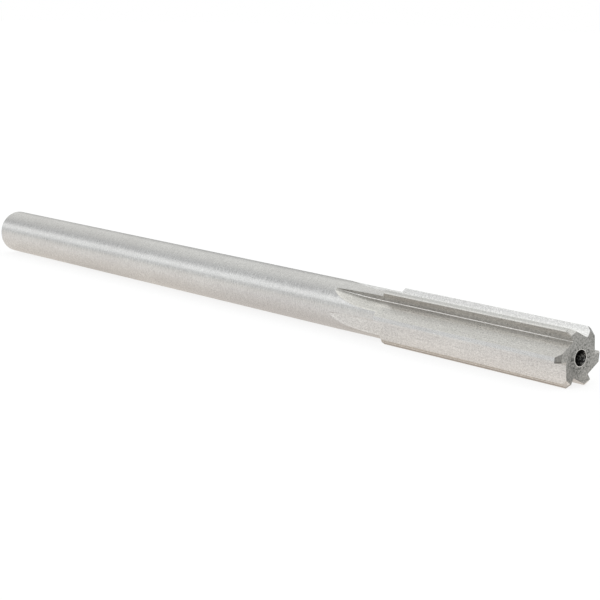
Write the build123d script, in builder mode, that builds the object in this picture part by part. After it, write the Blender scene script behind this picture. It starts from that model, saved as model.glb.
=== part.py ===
"""Straight-shank chucking reamer with straight flutes, for right-hand cutting.

The tool is one solid piece of ground high-speed steel. Its axis is X, from the middle of the
shank's end face at X = 0 to the cutting end, and it lies on a flat surface with +Z up.
"""
import os
from math import atan2, cos, degrees, radians, sin, tan

from build123d import *

# Turned and ground blank, in millimetres and degrees
cutting_diameter = 11.11
shank_diameter = 9.474
overall_length = 177.8
cutting_length = 44.45
step_angle = 60
shank_end_rounding = 0.5

# Centre holes in both ends, which held the tool while it was ground
centre_mouth_diameter = 2.8
centre_pilot_diameter = 1.25
centre_cone_angle = 60
centre_pilot_length = 1.5
drill_point_angle = 118

# Flutes: the bevelled corner of a tilted wheel grinds the cutting face and the flute's floor
tooth_count = 6
flute_floor_height = 3.57
flute_root_radius = 0.18
flute_overrun = 1.95
wheel_radius = 55
wheel_tilt = 20

# Lands: a narrow cylindrical margin behind each cutting edge, then a flat relief
margin_width = 0.32
land_relief_angle = 8

# Lead: the slanted cutting edges at the front, each with a flat relief behind it
lead_length = 0.8
lead_angle = 45
lead_relief_angle = 7

# How far a cut reaches past the metal that it removes
cut_clearance = 1.0

tool_radius = cutting_diameter / 2
shank_radius = shank_diameter / 2
step_top = overall_length - cutting_length
step_foot = step_top - (tool_radius - shank_radius) / tan(radians(step_angle))
tooth_pitch = 360 / tooth_count


def across(angle):
    """Unit vector across the tool's axis, turned from +Y towards +Z."""
    return Vector(0, cos(radians(angle)), sin(radians(angle)))


# The first tooth has its cutting edge at +Y, its flute above it and its land below it. The
# relief of the land starts where the margin ends and meets the next flute's floor at the heel.
margin_angle = degrees(margin_width / tool_radius)
margin_end = across(-margin_angle) * tool_radius
relief_normal = across(-margin_angle - land_relief_angle)
relief_run = across(-margin_angle - land_relief_angle - 90)
floor_normal = across(-tooth_pitch)
relief_width = (flute_floor_height - margin_end.dot(floor_normal)) / relief_run.dot(floor_normal)
heel = margin_end + relief_run * relief_width

# The tool lies on the cutting edge of one tooth and the heel of the next one. The chord
# between the two is level once the first tooth is turned by this angle.
chord = heel.rotate(Axis.X, tooth_pitch) - across(0) * tool_radius
resting_turn = -degrees(atan2(chord.Z, chord.Y))

# Half outline of the blank: along its outside, then back through both centre holes
mouth_radius = centre_mouth_diameter / 2
pilot_radius = centre_pilot_diameter / 2
cone_depth = (mouth_radius - pilot_radius) / tan(radians(centre_cone_angle / 2))
pilot_depth = cone_depth + centre_pilot_length
point_depth = pilot_depth + pilot_radius / tan(radians(drill_point_angle / 2))
centre_hole = [
    (0, mouth_radius),
    (cone_depth, pilot_radius),
    (pilot_depth, pilot_radius),
    (point_depth, 0),
]
blank_outline = [
    (0, shank_radius),
    (step_foot, shank_radius),
    (step_top, tool_radius),
    (overall_length, tool_radius),
]
blank_outline += [(overall_length - depth, radius) for depth, radius in centre_hole]
blank_outline += reversed(centre_hole)

# The wheel runs from the front end to here, and the flute's end keeps the curve of its rim.
# The wheel leans away from the cutting face, so the flute's end drifts towards the floor.
wheel_stop = step_top - flute_overrun
flute_root = Vector(wheel_stop, flute_floor_height, 0)
wheel_spindle = Axis(flute_root + across(wheel_tilt) * wheel_radius, across(wheel_tilt - 90))
flute_top = tool_radius + cut_clearance

# The lead's cutting edge runs from its back corner on the margin down to the front face
lead_corner = Vector(overall_length - lead_length, tool_radius, 0)
lead_drop = lead_length * tan(radians(lead_angle))
lead_edge = Vector(lead_length, -lead_drop, 0)
lead_normal = Vector(lead_drop, lead_length, 0).normalized() * cos(radians(lead_relief_angle))
lead_normal -= Vector(0, 0, 1) * sin(radians(lead_relief_angle))
lead_breadth = margin_width + relief_width + lead_drop + cut_clearance

# All the metal that is ground away at one tooth
with BuildPart() as tooth_cut:
    with BuildSketch(Plane.YZ.offset(wheel_stop)) as wheel_corner:
        with Locations((flute_floor_height, 0)):
            Rectangle(flute_top - flute_floor_height, flute_top, align=Align.MIN)
        fillet(wheel_corner.vertices().sort_by_distance((flute_floor_height, 0))[0], flute_root_radius)
    extrude(amount=overall_length - wheel_stop + cut_clearance)
    revolve(wheel_corner.sketch, axis=wheel_spindle, revolution_arc=90)

    with BuildSketch(Plane.YZ.offset(step_foot)):
        past_heel = relief_run * (relief_width + cut_clearance)
        relief_corners = [
            margin_end,
            margin_end + past_heel,
            margin_end + past_heel + relief_normal * cut_clearance,
            margin_end + relief_normal * cut_clearance,
        ]
        Polygon(*[(corner.Y, corner.Z) for corner in relief_corners], align=None)
    extrude(amount=overall_length - step_foot + cut_clearance)

    with BuildSketch(Plane(lead_corner, x_dir=lead_edge, z_dir=lead_normal)):
        with Locations((-cut_clearance, -cut_clearance)):
            Rectangle(
                lead_edge.length + 2 * cut_clearance,
                lead_breadth + cut_clearance,
                align=Align.MIN,
            )
    extrude(amount=lead_length)

with BuildPart() as reamer:
    with BuildSketch(Plane.XZ) as blank:
        with BuildLine():
            Polyline(*blank_outline, close=True)
        make_face()
        fillet(blank.vertices().sort_by_distance((0, shank_radius))[0], shank_end_rounding)
    revolve(axis=Axis.X)
    with Locations(*[Rotation(X=resting_turn + tooth * tooth_pitch) for tooth in range(tooth_count)]):
        add(tooth_cut.part, mode=Mode.SUBTRACT)

reamer.part.label = "reamer"
os.makedirs("parts", exist_ok=True)
export_step(reamer.part, "parts/reamer.step")
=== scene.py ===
"""Looks of the chucking reamer: ground steel, a white table and soft studio light."""
import math

import bmesh
import bpy
from mathutils import Matrix, Vector


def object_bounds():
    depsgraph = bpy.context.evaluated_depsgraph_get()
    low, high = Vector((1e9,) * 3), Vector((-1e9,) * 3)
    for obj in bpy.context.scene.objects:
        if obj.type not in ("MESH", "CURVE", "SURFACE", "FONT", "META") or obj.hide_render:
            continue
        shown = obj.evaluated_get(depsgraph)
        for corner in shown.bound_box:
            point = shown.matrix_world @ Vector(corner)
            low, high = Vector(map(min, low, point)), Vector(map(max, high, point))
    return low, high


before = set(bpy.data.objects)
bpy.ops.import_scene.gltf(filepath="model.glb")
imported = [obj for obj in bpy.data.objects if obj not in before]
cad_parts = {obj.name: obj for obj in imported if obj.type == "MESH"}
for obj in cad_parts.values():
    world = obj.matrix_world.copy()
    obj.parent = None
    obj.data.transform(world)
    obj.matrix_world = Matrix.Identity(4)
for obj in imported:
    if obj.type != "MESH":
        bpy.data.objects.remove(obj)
cad_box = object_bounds()

# The scene is in metres, so a length for it is given as millimetres times MM. The two materials
# turn places into millimetres instead, and lengths without MM are for them.
MM = 0.001

# Camera, fitted to the photograph: azimuth is turned from +X towards +Y
CAMERA_AZIMUTH = math.radians(-40.40)
CAMERA_ELEVATION = math.radians(9.94)
CAMERA_ROLL = math.radians(1.46)
CAMERA_DISTANCE = 335.6 * MM
CAMERA_TARGET = Vector((106.21, 0.0, -1.07)) * MM
CAMERA_LENS = 102.73
SENSOR_WIDTH = 36.0
CLIP_START = 10 * MM

# The tool, along its axis from the shank's end and out from the axis
TOOL_LENGTH = cad_box[1].x / MM
SHANK_RADIUS = 4.737
TOOL_RADIUS = 5.555
FLUTE_START = 120.5
STEP_FOOT = 132.88
STEP_TOP = 133.35
STEP_LENGTH = STEP_TOP - STEP_FOOT
ROUNDING_REACH = 0.6
CENTRE_HOLE_RADIUS = 1.4
CENTRE_HOLE_REACH = 4.0

# Rims in another tone: how wide the one round each centre hole is, and how deep the painted
# highlight along a run-out reaches below the shank's skin
BURNISHED_RIM = 0.13
RUN_OUT_RIM = 0.19

# How far a flat facet of the mesh may lie inside the round surface that it stands for, and how
# far outside a centre hole a point may lie and still be in it
FACET_ERROR = 0.05
MOUTH_SLACK = 0.01

# The teeth: where one cutting edge stands, from +Y towards +Z, and how high a flute's floor
# lies above the axis. A point still belongs to a tooth this share of the pitch behind its edge.
TOOTH_COUNT = 6
TOOTH_PITCH = 2 * math.pi / TOOTH_COUNT
EDGE_ANGLE = math.radians(4.63)
EDGE_SLACK = 0.05
FLOOR_HEIGHT = 3.57

# Marks of grinding and wear: how many come to a metre, along X, Y and Z or in every direction
ROUND_MARKS = (6500, 900, 900)
LONG_MARKS = (130, 7500, 7500)
DASHES = (2400, 5200, 5200)
CLOUDS = (60, 180, 180)
MOTTLE = 3200
PITS = 3400
SPECKLE = 4200
MARK_DEPTH = 0.01 * MM

# Tones of the steel, the darker and the lighter end of each
GROUND_STEEL = ((0.555, 0.55, 0.535), (0.685, 0.68, 0.66))
DULL_STEEL = ((0.24, 0.245, 0.235), (0.45, 0.45, 0.435))
# In the centre holes the near-black is painted shade and the lighter end paints glints
SHADED_HOLE_STEEL = ((0.02, 0.02, 0.02), (0.16, 0.16, 0.15))

# The step has one tone of painted light over its shade, and the rims of the centre holes one tone
LIT_STEP_STEEL = (0.85, 0.84, 0.82)
BURNISHED_STEEL = (0.60, 0.60, 0.58)

# How rough the ground steel is, at its smoothest and its roughest, then the lead and the ends
GROUND_ROUGHNESS = (0.24, 0.36)
LEAD_ROUGHNESS = 0.18
END_ROUGHNESS = 0.5

# Light of the studio by the angle about the tool's axis, in degrees: 0 is the horizon in front of
# the tool, 90 is overhead and 180 is the horizon behind it. A long soft box hangs in front.
STUDIO_BANDS = (
    (-180, (0.45, 0.45, 0.45)),
    (-90, (0.80, 0.79, 0.78)),
    (0, (0.80, 0.82, 0.83)),
    (12, (0.82, 0.84, 0.86)),
    (20, (1.42, 1.44, 1.46)),
    (37, (1.42, 1.44, 1.46)),
    (46, (0.70, 0.71, 0.73)),
    (66, (0.78, 0.79, 0.80)),
    (88, (0.98, 0.98, 0.97)),
    (140, (1.02, 1.02, 1.00)),
    (162, (0.45, 0.45, 0.45)),
    (180, (0.45, 0.45, 0.45)),
)

# Light of the table as the steel mirrors it, by the share of its reach from the tool's axis
TABLE_REACH = 60
TABLE_LIGHT = (
    (0.00, (1.20, 1.11, 1.03)),
    (0.06, (1.20, 1.11, 1.03)),
    (0.20, (1.26, 1.20, 1.17)),
    (0.40, (1.24, 1.20, 1.16)),
    (1.00, (1.10, 1.06, 1.02)),
)
TABLE_COLOUR = (0.92, 0.92, 0.92)
TABLE_HALF_SIDE = 3000 * MM

# The steel and the camera see the table's own light in these shares, and the rest as it is lit
MIRRORED_SHARE = 0.6
SEEN_SHARE = 0.8
SEEN_LIGHT = (1.04, 1.04, 1.04)

# Towards the camera the world's light is dimmed, and from the tool's front corner on the table has
# painted shadow; the lead mirrors both
CAMERA_SIDE = (0.746, -0.666, 0.0)
FRONT_CORNER = (TOOL_LENGTH, -5.0, cad_box[0].z / MM)


def photo_camera():
    """A camera that looks at the tool as the photograph does."""
    back = Vector((
        math.cos(CAMERA_ELEVATION) * math.cos(CAMERA_AZIMUTH),
        math.cos(CAMERA_ELEVATION) * math.sin(CAMERA_AZIMUTH),
        math.sin(CAMERA_ELEVATION),
    ))
    level_right = Vector((-math.sin(CAMERA_AZIMUTH), math.cos(CAMERA_AZIMUTH), 0))
    level_up = back.cross(level_right)
    right = math.cos(CAMERA_ROLL) * level_right + math.sin(CAMERA_ROLL) * level_up
    up = math.cos(CAMERA_ROLL) * level_up - math.sin(CAMERA_ROLL) * level_right
    turn = Matrix((right, up, back)).transposed().to_4x4()
    data = bpy.data.cameras.new("photo_camera")
    data.lens = CAMERA_LENS
    data.sensor_width = SENSOR_WIDTH
    data.clip_start = CLIP_START
    camera = bpy.data.objects.new("photo_camera", data)
    camera.matrix_world = Matrix.Translation(CAMERA_TARGET + CAMERA_DISTANCE * back) @ turn
    bpy.context.scene.collection.objects.link(camera)
    bpy.context.scene.camera = camera


class Nodes:
    """Makes and links the nodes of one tree. A mask is a number from 0 to 1."""

    def __init__(self, tree):
        self.tree = tree
        tree.nodes.clear()

    def set(self, socket, value):
        if isinstance(value, bpy.types.NodeSocket):
            self.tree.links.new(value, socket)
        else:
            socket.default_value = value

    def add(self, kind, inputs=None, **settings):
        """A node with its settings, and a value or another node's socket for each named input."""
        node = self.tree.nodes.new(kind)
        for name, value in settings.items():
            setattr(node, name, value)
        for name, value in (inputs or {}).items():
            self.set(node.inputs[name], value)
        return node

    def math(self, operation, *values):
        return self.add("ShaderNodeMath", dict(enumerate(values)), operation=operation).outputs[0]

    def vector_math(self, operation, inputs):
        return self.add("ShaderNodeVectorMath", inputs, operation=operation).outputs

    def times(self, product, *factors):
        for factor in factors:
            product = self.math("MULTIPLY", product, factor)
        return product

    def outside(self, mask):
        return self.math("SUBTRACT", 1.0, mask)

    def parts(self, vector):
        return self.add("ShaderNodeSeparateXYZ", {"Vector": vector}).outputs

    def in_millimetres(self, spot):
        return self.vector_math("SCALE", {0: spot, "Scale": 1 / MM})[0]

    def ramp(self, value, low, high, to_low=0.0, to_high=1.0):
        """Value taken smoothly from one range to another, and held at its ends."""
        return self.add(
            "ShaderNodeMapRange",
            {"Value": value, "From Min": low, "From Max": high, "To Min": to_low, "To Max": to_high},
            interpolation_type="SMOOTHSTEP",
        ).outputs["Result"]

    def band(self, value, start, full, fading, end):
        """A mask that rises from start to full and falls from fading to end."""
        return self.math("MINIMUM", self.ramp(value, start, full), self.ramp(value, end, fading))

    def blend(self, factor, first, second, kind="RGBA", how="MIX"):
        """First where the factor is 0, and second, or first times second, where it is 1."""
        mix = self.add("ShaderNodeMix", data_type=kind, blend_type=how)
        slots = [socket for socket in mix.inputs if socket.enabled]
        for socket, value in zip(slots, (factor, first, second)):
            self.set(socket, value)
        return next(socket for socket in mix.outputs if socket.enabled)

    def tones(self, factor, darker, lighter):
        return self.blend(factor, (*darker, 1), (*lighter, 1))

    def tint_all(self, tone, tints):
        """Tone times the colour of each tint where its mask is 1. Above 1 a colour lightens."""
        for mask, colour in tints:
            tone = self.blend(mask, tone, (*colour, 1), how="MULTIPLY")
        return tone

    def gradient(self, value, stops):
        """Colours at places from 0 to 1."""
        node = self.add("ShaderNodeValToRGB", {"Fac": value})
        elements = node.color_ramp.elements
        while len(elements) < len(stops):
            elements.new(0.5)
        for element, (place, colour) in zip(elements, stops):
            element.position = place
            element.color = (*colour, 1)
        return node.outputs["Color"]

    def noise(self, vector, scale, detail=2.0, roughness=0.5):
        return self.add(
            "ShaderNodeTexNoise",
            {"Vector": vector, "Scale": scale, "Detail": detail, "Roughness": roughness},
        ).outputs["Fac"]

    def marks(self, vector, scale, detail=4.0, roughness=0.6):
        """Noise drawn out by a scale of its own along each axis."""
        drawn = self.add("ShaderNodeMapping", {"Vector": vector, "Scale": scale}).outputs[0]
        return self.noise(drawn, 1.0, detail, roughness)


class SteelZones:
    """Masks of the tool's surfaces, by where a point lies on the tool and where it faces.

    Limits along the tool and in height, width and radius are in millimetres. A facing is the
    normal's part along an axis, so 1 is straight that way and 0 is square to it.
    """

    def __init__(self, nodes):
        self.nodes = nodes
        place = nodes.add("ShaderNodeTexCoord")
        self.spot = place.outputs["Object"]
        self.x, self.y, self.z = nodes.parts(nodes.in_millimetres(self.spot))
        self.facing_x, self.facing_y, self.facing_z = nodes.parts(place.outputs["Normal"])
        self.turn_to_tooth()
        self.find_body()
        self.find_lands()
        self.find_cutting_faces()
        self.find_root_corner()
        self.find_floors()
        self.find_run_outs()
        self.find_ends()

    def turn_to_tooth(self):
        """Where a point lies as its own tooth sees it: height above the axis along the cutting
        edge's radius, and width into the flute, square to that radius."""
        nodes = self.nodes
        first_edge = EDGE_ANGLE / TOOTH_PITCH
        around = nodes.math("ARCTAN2", self.z, self.y)
        teeth = nodes.math("MULTIPLY_ADD", around, 1 / TOOTH_PITCH, EDGE_SLACK - first_edge)
        past_edge = nodes.math("SUBTRACT", nodes.math("FRACT", teeth), EDGE_SLACK)
        past_edge = nodes.times(past_edge, TOOTH_PITCH)
        squares = nodes.math("ADD", nodes.times(self.y, self.y), nodes.times(self.z, self.z))
        self.radius = nodes.math("SQRT", squares)
        self.height = nodes.times(self.radius, nodes.math("COSINE", past_edge))
        self.width = nodes.times(self.radius, nodes.math("SINE", past_edge))

        # The normal's part into the flute is 1 on a cutting face and 0 on a floor
        edge = nodes.math("SUBTRACT", around, past_edge)
        self.into_flute = nodes.math(
            "SUBTRACT",
            nodes.times(self.facing_z, nodes.math("COSINE", edge)),
            nodes.times(self.facing_y, nodes.math("SINE", edge)),
        )

        # Where the surface faces, as a share of the way from one edge's radius to the next one's
        facing_around = nodes.math("ARCTAN2", self.facing_z, self.facing_y)
        facing_teeth = nodes.math("MULTIPLY_ADD", facing_around, 1 / TOOTH_PITCH, -first_edge)
        self.facing_share = nodes.math("FRACT", facing_teeth)

    def find_body(self):
        """The fluted body, its flutes, the step before it and the lead at its front."""
        nodes = self.nodes

        # In a flute the steel lies deeper than the shank or the lands would
        skin = nodes.add(
            "ShaderNodeMapRange",
            {"Value": self.x, "From Min": STEP_FOOT, "From Max": STEP_TOP,
             "To Min": SHANK_RADIUS - FACET_ERROR, "To Max": TOOL_RADIUS - 2 * FACET_ERROR},
        ).outputs["Result"]
        self.flute = nodes.math("LESS_THAN", self.radius, skin)
        self.body = nodes.math("GREATER_THAN", self.x, STEP_TOP)
        self.ground_lengthwise = nodes.math("MAXIMUM", self.flute, self.body)

        by_step = nodes.math("GREATER_THAN", self.x, STEP_FOOT - STEP_LENGTH)
        self.step = nodes.times(nodes.ramp(self.facing_x, -0.5, -0.7), by_step)
        self.lead = nodes.ramp(self.facing_x, 0.5, 0.6)
        # Painted shade on the lead where it faces the near side
        self.shaded_near_lead = nodes.times(self.lead, nodes.ramp(self.facing_y, -0.45, -0.6))

    def find_lands(self):
        """The lands: a round margin at each edge, and behind it a flat relief, which faces back
        from its edge by 11 degrees, or by a share of 0.19."""
        nodes = self.nodes
        self.land = nodes.times(self.body, nodes.outside(self.flute))
        relief = nodes.times(self.land, nodes.band(self.facing_share, 0.75, 0.79, 0.84, 0.88))
        # Painted light on the margins that face up, painted shade on the reliefs that face up or
        # down, and a painted bluish reflection on the reliefs that face sideways
        up = nodes.ramp(self.facing_z, 0.4, 0.7)
        down = nodes.ramp(self.facing_z, -0.4, -0.7)
        sideways = nodes.ramp(nodes.math("ABSOLUTE", self.facing_z), 0.5, 0.3)
        self.lit_upper_margin = nodes.times(self.land, up, nodes.outside(relief))
        self.shaded_upper_relief = nodes.times(relief, up)
        self.side_relief_reflection = nodes.times(relief, sideways)
        self.shaded_lower_relief = nodes.times(relief, down)

    def find_cutting_faces(self):
        """The cutting faces: painted shade on the lower teeth and a painted dark line at their foot,
        painted light at the upper teeth's foot, painted shade at the flute's start and the top
        tooth's front."""
        nodes = self.nodes
        above_floor = nodes.math("SUBTRACT", self.height, FLOOR_HEIGHT)
        self.cutting_face = nodes.times(nodes.ramp(self.into_flute, 0.6, 0.8), self.flute)
        upper_face = nodes.times(self.cutting_face, nodes.ramp(self.facing_z, 0.2, 0.4))
        self.lower_face = nodes.math("SUBTRACT", self.cutting_face, upper_face)

        # Painted shade on the lower cutting faces, deeper away from the floor
        shade_deepens = nodes.ramp(above_floor, 0.35, 1.2, 0.15, 1.0)
        shade_starts = nodes.ramp(self.x, 127, 135, 0.6, 1.0)
        shade_thins = nodes.ramp(self.x, 140, 156, 1.0, 0.78)
        self.lower_face_shade = nodes.times(self.lower_face, shade_deepens, shade_starts, shade_thins)

        # A painted dark line of shade at the foot of the lower cutting faces
        line = nodes.band(above_floor, 0.20, 0.28, 0.40, 0.60)
        line_starts = nodes.ramp(self.x, 132, 134)
        line_thins = nodes.ramp(self.x, 150, 168, 1.0, 0.2)
        self.shaded_foot_line = nodes.times(self.lower_face, line, line_starts, line_thins)

        # Painted light at the foot of the upper cutting faces
        self.lit_upper_foot = nodes.times(upper_face, nodes.ramp(above_floor, 1.4, 0.95))
        # Painted shade on the cutting faces where the flute starts
        self.shaded_face_start = nodes.times(self.cutting_face, nodes.ramp(self.x, 135, 128))
        # Painted shade at the front of the cutting face that faces straight up
        straight_up = nodes.ramp(self.facing_z, 0.8, 0.95)
        self.shaded_top_front = nodes.times(self.cutting_face, straight_up, nodes.ramp(self.x, 172, 176))

    def find_root_corner(self):
        """The round corner between a cutting face and the floor, which shines as a line with a
        painted highlight. Painted shade darkens it at its tip in the run-out and at the front."""
        nodes = self.nodes
        corner = nodes.times(nodes.band(self.into_flute, 0.15, 0.30, 0.80, 0.95), self.flute)
        line_starts = nodes.ramp(self.x, 124.5, 129.5)
        line_thins = nodes.ramp(self.x, 131, 137, 1.0, 0.7)
        by_front = nodes.ramp(self.x, 170, 175.5)
        # A painted highlight along the root corner
        self.root_highlight = nodes.times(corner, line_starts, line_thins)
        # Painted shade on the root corner at its tip in the run-out and at the front
        self.shaded_root_tip = nodes.times(corner, nodes.ramp(self.x, 125, 121.5))
        self.shaded_root_front = nodes.times(corner, by_front, nodes.outside(self.lead))

    def find_floors(self):
        """The flutes' floors, from the painted shade along the root to the painted shade by the
        heel.
        """
        nodes = self.nodes
        self.floor = nodes.times(self.flute, nodes.outside(self.cutting_face))
        self.upper_floor = nodes.times(self.floor, nodes.ramp(self.facing_z, 0.6, 0.8))

        along_root = nodes.ramp(self.width, 0.75, 0.45)
        root_deepens = nodes.ramp(self.x, FLUTE_START, STEP_TOP)
        self.root_shade = nodes.times(self.floor, along_root, root_deepens)

        along_tip = nodes.band(self.width, 0.3, 0.5, 0.7, 1.05)
        in_tip = nodes.times(nodes.ramp(self.x, 125, 122), nodes.ramp(self.facing_z, 0.5, 0.7))
        self.tip_shade = nodes.times(self.floor, along_tip, in_tip)

        # A painted highlight in a streak along the upper floors, from the step on
        along_streak = nodes.band(self.width, 0.75, 1.0, 1.5, 1.9)
        streak_starts = nodes.ramp(self.x, 128, 134)
        self.highlight_streak = nodes.times(self.upper_floor, along_streak, streak_starts)

        # Painted light on the upper floors by the step, away from the root
        by_step = nodes.band(self.x, 126, 134, 142, 154)
        away_from_root = nodes.ramp(self.width, 2.2, 3.2)
        self.lit_floor_start = nodes.times(self.upper_floor, by_step, away_from_root)

        # A painted dark strip of shade by the heel narrows towards the front. Only the near floor
        # has it, which stands upright and faces down by 0.08.
        narrowed = nodes.math("SUBTRACT", self.width, nodes.ramp(self.x, 145, 176, 0.0, 0.13))
        along_heel = nodes.times(nodes.ramp(narrowed, 3.74, 3.86), self.body)
        off_upright = nodes.math("ABSOLUTE", nodes.math("ADD", self.facing_z, 0.08))
        near_side = nodes.math("LESS_THAN", self.facing_y, 0.0)
        upright = nodes.times(nodes.ramp(off_upright, 0.12, 0.08), near_side)
        self.shaded_heel_strip = nodes.times(self.floor, along_heel, upright)

    def find_run_outs(self):
        """The flutes' ends in the shank: painted light on the floors, a painted highlight where a
        floor meets its skin.
        """
        nodes = self.nodes
        self.lit_run_out = nodes.times(self.floor, nodes.ramp(self.x, STEP_TOP + 1.0, STEP_FOOT))
        at_skin = nodes.math("GREATER_THAN", self.radius, SHANK_RADIUS - RUN_OUT_RIM)
        in_shank = nodes.math("LESS_THAN", self.x, STEP_FOOT)
        off_face = nodes.ramp(self.into_flute, 0.3, 0.1)
        self.highlit_run_out_rim = nodes.times(self.flute, at_skin, in_shank, off_face)

    def find_ends(self):
        """The two end faces with their centre holes, and the rounding of the shank's end."""
        nodes = self.nodes
        at_rounding = nodes.math("LESS_THAN", self.x, ROUNDING_REACH)
        # A painted dark rim of shade on the rounding of the shank's end
        self.shaded_end_rounding = nodes.times(nodes.ramp(self.facing_x, -0.02, -0.2), at_rounding)

        from_end = nodes.math("MINIMUM", self.x, nodes.math("SUBTRACT", TOOL_LENGTH, self.x))
        at_end = nodes.math("LESS_THAN", from_end, CENTRE_HOLE_REACH)
        faces_out = nodes.ramp(nodes.math("ABSOLUTE", self.facing_x), 0.85, 0.95)
        in_hole = nodes.math("LESS_THAN", self.radius, CENTRE_HOLE_RADIUS + MOUTH_SLACK)
        in_rim = nodes.math("LESS_THAN", self.radius, CENTRE_HOLE_RADIUS + BURNISHED_RIM)
        by_hole = nodes.ramp(self.radius, 3.22, 1.96)
        self.end_face = nodes.times(at_end, faces_out)
        self.hole = nodes.times(at_end, in_hole)
        self.hole_rim = nodes.times(at_end, in_rim)
        self.round_hole = nodes.times(self.end_face, by_hole)

        # The end faces are worn low on the near side, and darker there and high on the far side
        diagonal = nodes.math("ADD", self.y, self.z)
        self.worn_side = nodes.ramp(diagonal, -1.2, -3.0)
        low_near = nodes.ramp(nodes.math("MULTIPLY_ADD", self.z, 0.5, self.y), -1.2, -2.2)
        off_tooth = nodes.ramp(nodes.math("MULTIPLY_ADD", self.z, -0.3, self.y), -3.6, -2.8)
        high_far = nodes.ramp(diagonal, 4.2, 5.4, 0.0, 0.6)
        dark = nodes.math("MAXIMUM", nodes.times(low_near, off_tooth), high_far)
        self.dark_side = nodes.times(self.end_face, dark)


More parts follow.
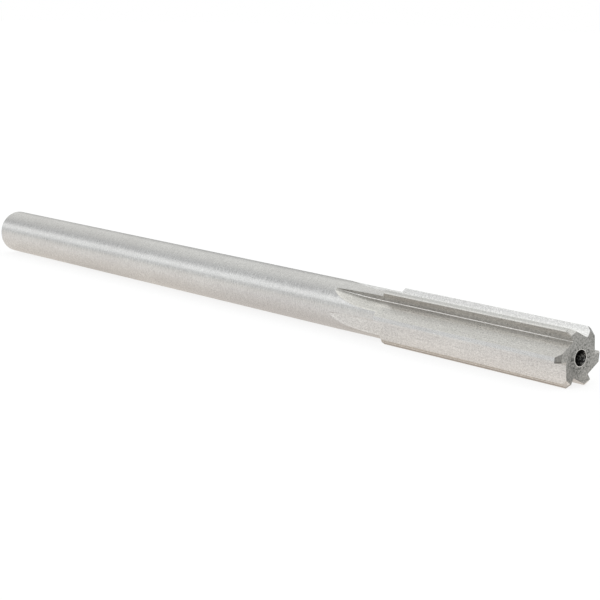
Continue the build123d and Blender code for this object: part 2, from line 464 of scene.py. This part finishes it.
def ground_steel():
    """Ground high-speed steel: round marks on the shank, long marks in the flutes and on the
    lands, and painted shade on the lower cutting faces, among painted light and shade on other
    zones.
    The ends are dull and pitted, with a bright rim round a centre hole darkened by painted shade."""
    material = bpy.data.materials.new("ground_steel")
    material.use_nodes = True
    nodes = Nodes(material.node_tree)
    zones = SteelZones(nodes)

    round_marks = nodes.marks(zones.spot, ROUND_MARKS)
    dashes = nodes.marks(zones.spot, DASHES, detail=2.0)
    long_marks = nodes.blend(0.5, nodes.marks(zones.spot, LONG_MARKS), dashes, "FLOAT")
    clouds = nodes.marks(zones.spot, CLOUDS, detail=2.0, roughness=0.5)
    mottle = nodes.noise(zones.spot, MOTTLE, detail=3.0, roughness=0.65)
    speckle = nodes.noise(zones.spot, SPECKLE, detail=1.0)
    pits = nodes.noise(zones.spot, PITS, detail=1.0)
    grain = nodes.blend(zones.ground_lengthwise, round_marks, long_marks, "FLOAT")
    grain = nodes.blend(zones.lead, grain, mottle, "FLOAT")
    grain = nodes.blend(zones.end_face, grain, mottle, "FLOAT")

    clouded = nodes.ramp(clouds, 0.35, 0.65)
    specks = nodes.ramp(speckle, 0.7, 0.3)
    flute_dashes = nodes.times(zones.flute, nodes.ramp(dashes, 0.65, 0.35))
    face_spots = nodes.times(zones.lower_face, nodes.ramp(mottle, 0.42, 0.60))
    ground = nodes.tones(nodes.ramp(grain, 0.3, 0.7), *GROUND_STEEL)
    ground = nodes.tint_all(ground, (
        (clouded, (0.96, 0.955, 0.955)),
        (specks, (0.82, 0.82, 0.82)),
        (flute_dashes, (0.91, 0.91, 0.91)),
        (zones.flute, (1.04, 1.04, 1.04)),
        (zones.land, (1.08, 1.08, 1.08)),
        # painted light and shade on the lands by where they face, and a painted bluish reflection
        (zones.lit_upper_margin, (1.10, 1.10, 1.09)),
        (zones.shaded_upper_relief, (0.84, 0.85, 0.85)),
        (zones.side_relief_reflection, (0.985, 1.0, 1.02)),
        (zones.shaded_lower_relief, (0.80, 0.78, 0.75)),
        # painted shade on the lower cutting faces
        (zones.lower_face_shade, (0.825, 0.785, 0.745)),
        (face_spots, (0.76, 0.755, 0.75)),
        # painted shade line at the foot of the lower cutting faces
        (zones.shaded_foot_line, (0.85, 0.85, 0.85)),
        # painted light at the foot of the upper cutting faces
        (zones.lit_upper_foot, (1.11, 1.11, 1.10)),
        # painted shade on the cutting faces at the flute's start
        (zones.shaded_face_start, (0.84, 0.84, 0.84)),
        # painted shade at the front of the top cutting face
        (zones.shaded_top_front, (0.72, 0.72, 0.71)),
        # painted highlight on the root corner
        (zones.root_highlight, (1.40, 1.40, 1.40)),
        # painted shade on the root corner at its tip and at the front
        (zones.shaded_root_tip, (0.60, 0.59, 0.57)),
        (zones.shaded_root_front, (0.66, 0.66, 0.65)),
        # painted warmer light on the floors that face up
        (zones.upper_floor, (1.0, 0.995, 0.975)),
        (zones.root_shade, (0.87, 0.85, 0.83)),
        (zones.tip_shade, (0.64, 0.64, 0.64)),
        # painted highlight streak on the upper floors
        (zones.highlight_streak, (1.22, 1.21, 1.20)),
        # painted light on the upper floors by the step
        (zones.lit_floor_start, (1.11, 1.11, 1.11)),
        # painted shade in a strip by the heel of the near floor
        (zones.shaded_heel_strip, (0.74, 0.70, 0.65)),
        # painted light on the run-out floors and a painted highlight on their rim
        (zones.lit_run_out, (1.075, 1.075, 1.065)),
        (zones.highlit_run_out_rim, (1.10, 1.10, 1.10)),
        (zones.lead, (0.86, 0.86, 0.86)),
        # painted shade on the near side of the lead
        (zones.shaded_near_lead, (0.90, 0.89, 0.86)),
        # painted shade on the rounding of the shank's end
        (zones.shaded_end_rounding, (0.66, 0.67, 0.68)),
    ))

    worn_pits = nodes.math("MULTIPLY_ADD", zones.worn_side, 0.08, pits)
    pitted = nodes.times(zones.round_hole, nodes.ramp(worn_pits, 0.54, 0.60))
    dull = nodes.tones(nodes.ramp(mottle, 0.35, 0.65), *DULL_STEEL)
    dull = nodes.tint_all(dull, (
        (zones.dark_side, (0.79, 0.79, 0.79)),
        (pitted, (0.36, 0.37, 0.36)),
    ))
    # The centre hole's dark tone is painted shade, with lighter painted glints
    hole = nodes.tones(nodes.ramp(worn_pits, 0.5, 0.6), *SHADED_HOLE_STEEL)

    # The step takes painted light
    tone = nodes.blend(zones.step, ground, (*LIT_STEP_STEEL, 1))
    tone = nodes.blend(zones.end_face, tone, dull)
    tone = nodes.blend(zones.hole_rim, tone, (*BURNISHED_STEEL, 1))
    tone = nodes.blend(zones.hole, tone, hole)
    rough = nodes.ramp(grain, 0.25, 0.75, *GROUND_ROUGHNESS)
    rough = nodes.blend(zones.lead, rough, LEAD_ROUGHNESS, "FLOAT")
    rough = nodes.blend(zones.end_face, rough, END_ROUGHNESS, "FLOAT")
    bump = nodes.add("ShaderNodeBump", {"Strength": 0.25, "Distance": MARK_DEPTH, "Height": grain})
    shader = nodes.add("ShaderNodeBsdfPrincipled", {
        "Base Color": tone,
        "Metallic": 1.0,
        "Roughness": rough,
        "Normal": bump.outputs[0],
    })
    nodes.add("ShaderNodeOutputMaterial", {"Surface": shader.outputs[0]})
    return material


def table_white():
    """A white table, lit a little from within for the camera, and for the steel that mirrors it."""
    material = bpy.data.materials.new("table_white")
    material.use_nodes = True
    nodes = Nodes(material.node_tree)
    spot = nodes.in_millimetres(nodes.add("ShaderNodeTexCoord").outputs["Object"])
    x, y = nodes.parts(spot)[:2]
    from_corner = nodes.vector_math("SUBTRACT", {0: spot, 1: FRONT_CORNER})[0]
    outward = nodes.vector_math("NORMALIZE", {0: from_corner})[0]
    to_camera = nodes.vector_math("DOT_PRODUCT", {0: outward, 1: CAMERA_SIDE})["Value"]
    shade_by_camera = nodes.ramp(to_camera, 0.88, 0.97)

    # Painted shadow and painted light on the table, which the steel mirrors: shadow under the shank
    # and the body, shade before the body, farther out and towards the camera, light beside it
    shadow_under_shank = nodes.times(nodes.band(x, 18, 30, 45, 60), nodes.ramp(y, -3.9, -2.9))
    shade_before_body = nodes.band(x, 65, 90, 118, 132)
    shadow_under_body = nodes.times(
        nodes.band(x, 115, 134, 175, 181),
        nodes.band(y, -3.8, -3.4, -2.65, -2.45),
    )
    at_body = nodes.ramp(x, 128, 140)
    light_beside_body = nodes.math("MINIMUM", nodes.band(y, -11, -8, -4.4, -3.6), at_body)
    shade_farther_out = nodes.math("MINIMUM", nodes.band(y, -26, -21, -16, -13), at_body)
    away = nodes.math("DIVIDE", nodes.math("ABSOLUTE", y), TABLE_REACH)
    mirrored = nodes.tint_all(nodes.gradient(away, TABLE_LIGHT), (
        (shadow_under_shank, (0.88, 0.88, 0.88)),
        (shade_before_body, (0.942, 0.95, 0.972)),
        (shadow_under_body, (0.68, 0.63, 0.59)),
        (light_beside_body, (1.3, 1.3, 1.3)),
        (shade_farther_out, (0.84, 0.84, 0.85)),
        (shade_by_camera, (0.1, 0.1, 0.1)),
    ))

    rays = nodes.add("ShaderNodeLightPath").outputs
    plain = nodes.add("ShaderNodeBsdfDiffuse", {"Color": (*TABLE_COLOUR, 1)}).outputs[0]
    in_steel = nodes.add("ShaderNodeEmission", {"Color": mirrored}).outputs[0]
    in_camera = nodes.add("ShaderNodeEmission", {"Color": (*SEEN_LIGHT, 1)}).outputs[0]
    to_steel = nodes.times(rays["Is Glossy Ray"], MIRRORED_SHARE)
    to_lens = nodes.times(rays["Is Camera Ray"], SEEN_SHARE)
    surface = nodes.add("ShaderNodeMixShader", {0: to_steel, 1: plain, 2: in_steel}).outputs[0]
    surface = nodes.add("ShaderNodeMixShader", {0: to_lens, 1: surface, 2: in_camera}).outputs[0]
    nodes.add("ShaderNodeOutputMaterial", {"Surface": surface})
    return material


def floor():
    """A large flat table at the lowest point of the tool."""
    under_tool = Matrix.Translation((0, 0, cad_box[0].z))
    table = bmesh.new()
    bmesh.ops.create_grid(
        table, x_segments=1, y_segments=1, size=TABLE_HALF_SIDE, matrix=under_tool)
    mesh = bpy.data.meshes.new("floor")
    table.to_mesh(mesh)
    table.free()
    mesh.materials.append(table_white())
    plane = bpy.data.objects.new("floor", mesh)
    bpy.context.scene.collection.objects.link(plane)


def studio_light():
    """Soft light from all round, in bands along the tool, with white behind the table."""
    world = bpy.data.worlds.new("studio")
    world.use_nodes = True
    nodes = Nodes(world.node_tree)
    direction = nodes.add("ShaderNodeTexCoord").outputs["Generated"]

    # The long surfaces mirror each x of the light at one place along the tool. The photograph's
    # camera sees -0.86 at the shank's end, -0.72 by the step and -0.64 at the front.
    x, y, z = nodes.parts(direction)
    angle = nodes.math("DEGREES", nodes.math("ARCTAN2", z, nodes.times(y, -1.0)))

    # The soft box isn't quite straight: it hangs a few degrees lower in its middle
    sag = nodes.math("ADD", nodes.ramp(x, -0.90, -0.76, -4, 4), nodes.ramp(x, -0.71, -0.66, 0, -8))
    angle = nodes.math("MULTIPLY_ADD", sag, nodes.ramp(z, 0.02, 0.15), angle)

    # Its upper edge is higher at the shank's end, and lower from the middle on
    taper = nodes.ramp(x, -0.84, -0.78, -5, 3.5)
    angle = nodes.math("MULTIPLY_ADD", taper, nodes.band(angle, 25, 38, 50, 60), angle)

    light = nodes.gradient(
        nodes.math("MULTIPLY_ADD", angle, 1 / 360, 0.5),
        [(degrees / 360 + 0.5, colour) for degrees, colour in STUDIO_BANDS],
    )
    high = nodes.ramp(z, 0.3, 0.6)
    high_at_end = nodes.times(high, nodes.ramp(x, -0.80, -0.85))
    high_past_front = nodes.times(high, nodes.ramp(x, -0.64, -0.52))
    high_forward = nodes.times(high, nodes.ramp(x, 0.10, 0.35))
    low_at_front = nodes.times(nodes.band(z, 0.15, 0.25, 0.55, 0.65), nodes.ramp(x, -0.71, -0.67))
    along_shank = nodes.times(nodes.band(x, -0.80, -0.77, -0.76, -0.73), nodes.ramp(z, 0.95, 0.85))
    to_camera = nodes.vector_math("DOT_PRODUCT", {0: direction, 1: CAMERA_SIDE})["Value"]
    shade_by_camera = nodes.ramp(to_camera, 0.77, 0.98)
    light = nodes.tint_all(light, (
        (high_at_end, (0.82, 0.82, 0.82)),
        (high_past_front, (1.30, 1.30, 1.30)),
        (high_forward, (0.80, 0.80, 0.80)),
        (low_at_front, (1.20, 1.20, 1.20)),
        (along_shank, (0.98, 1.0, 1.025)),
        (shade_by_camera, (0.3, 0.3, 0.3)),
    ))
    rays = nodes.add("ShaderNodeLightPath").outputs
    seen = nodes.blend(rays["Is Camera Ray"], light, (1, 1, 1, 1))
    background = nodes.add("ShaderNodeBackground", {"Color": seen}).outputs[0]
    nodes.add("ShaderNodeOutputWorld", {"Surface": background})
    bpy.context.scene.world = world


photo_camera()
floor()
studio_light()
steel = ground_steel()
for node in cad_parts.values():
    for place in range(len(node.data.materials)):
        node.data.materials[place] = steel

bpy.context.scene.view_settings.view_transform = "Standard"
